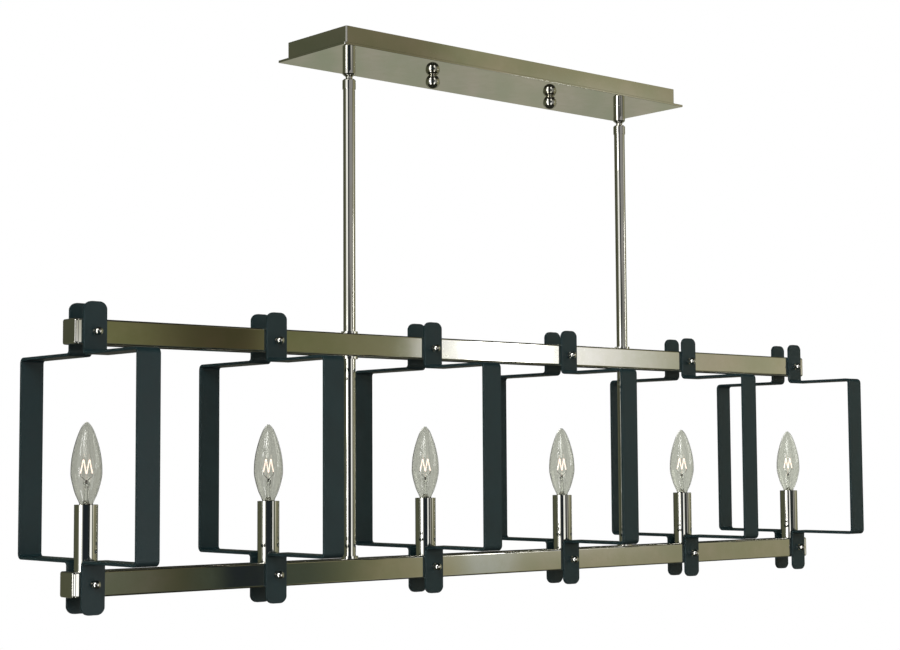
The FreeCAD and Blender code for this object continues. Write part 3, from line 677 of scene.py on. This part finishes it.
def panel_glow():
    """White in the middle, fading towards each edge, so that no hard border shows in the metal."""
    f = Room("soft_panel", WINDOW)
    parts = f.node("SeparateXYZ", Vector=f.coordinates())
    left, right = PANEL_X[0] + PANEL_SOFT, PANEL_X[1] - PANEL_SOFT
    across = f.band(parts.outputs["X"], left, right, PANEL_SOFT, PANEL_SOFT)
    upward = f.band(parts.outputs["Z"], PANEL_Z[0] + PANEL_SOFT, PANEL_Z[1], PANEL_SOFT, PANEL_SOFT_TOP)
    strength = f.spread(parts.outputs["Z"], *PANEL_STRENGTH, *PANEL_BRIGHTER_BELOW)
    light = f.node("Emission", Color=f.colour, Strength=strength)
    clear = f.node("BsdfTransparent")
    cover = f.math("MULTIPLY", across, upward)
    shade = f.node("MixShader", i0=cover, i1=clear.outputs[0], i2=light.outputs[0])
    return f.surface(shade.outputs[0])


PANEL_TOP = PANEL_Z[1] + PANEL_SOFT_TOP
sheet = np.array([[[x, PANEL_Y, z] for x in PANEL_X] for z in (PANEL_Z[0], PANEL_TOP)])
panel = join_grids("soft_panel", [mesh_from_grid("soft_panel", sheet, wrap=False)])
panel.data.materials.append(panel_glow())
seen_by_reflections_only(panel)
print("soft panel", PANEL_Y, "m in front")

# %% [markdown]
# ## Floor, world and lamps of the studio
# The floor is pale and lies well below the fixture, so the shadow that it keeps is soft. A little light
# of its own, for camera and glass rays only, brings it up to the white around it. The background is
# white by colour: the world is pure white for camera, glossy and glass rays, and only a mild fill for
# the rest. Three soft lamps, which no reflection shows, shape the straps.

# %% Floor and world
FLOOR_Z = -3.4
FLOOR_HALF = 6.0
FLOOR_LIFT = 0.56
FILL = 0.55

corners = np.array([[[x, y, FLOOR_Z] for x in (-FLOOR_HALF, FLOOR_HALF)]
                    for y in (-FLOOR_HALF, FLOOR_HALF)])
floor = bpy.data.objects.new("studio_floor", mesh_from_grid("studio_floor", corners, wrap=False))
bpy.context.scene.collection.objects.link(floor)
f = Finish("pale_floor")
mottle = f.node("TexNoise", Vector=f.coordinates(), Scale=3.0, Detail=3.0)
shade = f.mix(mottle.outputs["Fac"], (0.80, 0.80, 0.80, 1.0), (0.83, 0.83, 0.83, 1.0))
matte = f.node("BsdfDiffuse", Color=shade)
rays = f.node("LightPath")
seen = f.node("Math", {"operation": "MAXIMUM"}, i0=rays.outputs["Is Camera Ray"],
              i1=rays.outputs["Is Transmission Ray"])
raised = f.node("Math", {"operation": "MULTIPLY"}, i0=seen.outputs[0], i1=FLOOR_LIFT)
lift = f.node("Emission", Color=(1.0, 1.0, 1.0, 1.0), Strength=raised.outputs[0])
both = f.node("AddShader", i0=matte.outputs[0], i1=lift.outputs[0])
floor.data.materials.append(f.surface(both.outputs[0]))
floor.visible_glossy = False

world = bpy.data.worlds.new("studio_world")
bpy.context.scene.world = world
world.use_nodes = True
tree = world.node_tree
tree.nodes.clear()
out = tree.nodes.new("ShaderNodeOutputWorld")
background = tree.nodes.new("ShaderNodeBackground")
background.inputs["Color"].default_value = (1.0, 1.0, 1.0, 1.0)
path = tree.nodes.new("ShaderNodeLightPath")
seen_by = path.outputs["Is Camera Ray"]
for ray in ("Is Glossy Ray", "Is Transmission Ray"):
    larger = tree.nodes.new("ShaderNodeMath")
    larger.operation = "MAXIMUM"
    tree.links.new(seen_by, larger.inputs[0])
    tree.links.new(path.outputs[ray], larger.inputs[1])
    seen_by = larger.outputs[0]
strength = tree.nodes.new("ShaderNodeMapRange")
strength.inputs["To Min"].default_value = FILL
strength.inputs["To Max"].default_value = 1.0
tree.links.new(seen_by, strength.inputs["Value"])
tree.links.new(strength.outputs["Result"], background.inputs["Strength"])
tree.links.new(background.outputs["Background"], out.inputs["Surface"])
print("floor at", FLOOR_Z, "m; fill", FILL)


# %% Soft lamps
SOFT_LAMP_SIDE = 1.8
SOFT_LAMP_AIM = Vector((0, 0, -0.4))


def soft_lamp(name, place, watts):
    """A square area lamp turned towards the middle of the fixture."""
    light = bpy.data.lights.new(name, "AREA")
    light.shape = "SQUARE"
    light.size = SOFT_LAMP_SIDE
    light.energy = watts
    lamp = bpy.data.objects.new(name, light)
    lamp.location = place
    lamp.rotation_euler = (SOFT_LAMP_AIM - Vector(place)).to_track_quat("-Z", "Y").to_euler()
    lamp.visible_glossy = False
    bpy.context.scene.collection.objects.link(lamp)


soft_lamp("key_lamp", (-2.6, -2.0, 1.4), 70.0)
soft_lamp("side_lamp", (2.8, -1.6, 0.6), 35.0)
soft_lamp("back_lamp", (0.5, 2.8, 1.2), 30.0)
print("three soft lamps")

# %% [markdown]
# ## The camera
# The view looks along the fixture from its left end, almost level with the lamps and turned slightly up.
# Its place and lens were worked out from edges whose real sizes are known.

# %% Camera
CAMERA_PLACE = Vector((-1.4395, -1.5676, -0.4721))
YAW, PITCH, ROLL = (math.radians(v) for v in (41.148, 4.458, -0.33))
LENS_MM = 72.71
SENSOR_MM = 36.0

level = Vector((math.sin(YAW), math.cos(YAW), 0))
right = Vector((math.cos(YAW), -math.sin(YAW), 0))
up = Vector((0, 0, 1))
forward = math.cos(PITCH) * level + math.sin(PITCH) * up
above = -math.sin(PITCH) * level + math.cos(PITCH) * up
rolled_right = math.cos(ROLL) * right + math.sin(ROLL) * above
rolled_up = -math.sin(ROLL) * right + math.cos(ROLL) * above
turn = Matrix([rolled_right, rolled_up, -forward]).transposed()
lens = bpy.data.cameras.new("view_camera")
lens.lens = LENS_MM
lens.sensor_width = SENSOR_MM
lens.sensor_fit = "HORIZONTAL"
lens.clip_end = 50.0
camera = bpy.data.objects.new("view_camera", lens)
camera.matrix_world = Matrix.Translation(CAMERA_PLACE) @ turn.to_4x4()
bpy.context.scene.collection.objects.link(camera)
bpy.context.scene.camera = camera
bpy.context.scene.view_settings.view_transform = "Standard"
print("camera at", tuple(round(v, 3) for v in CAMERA_PLACE))
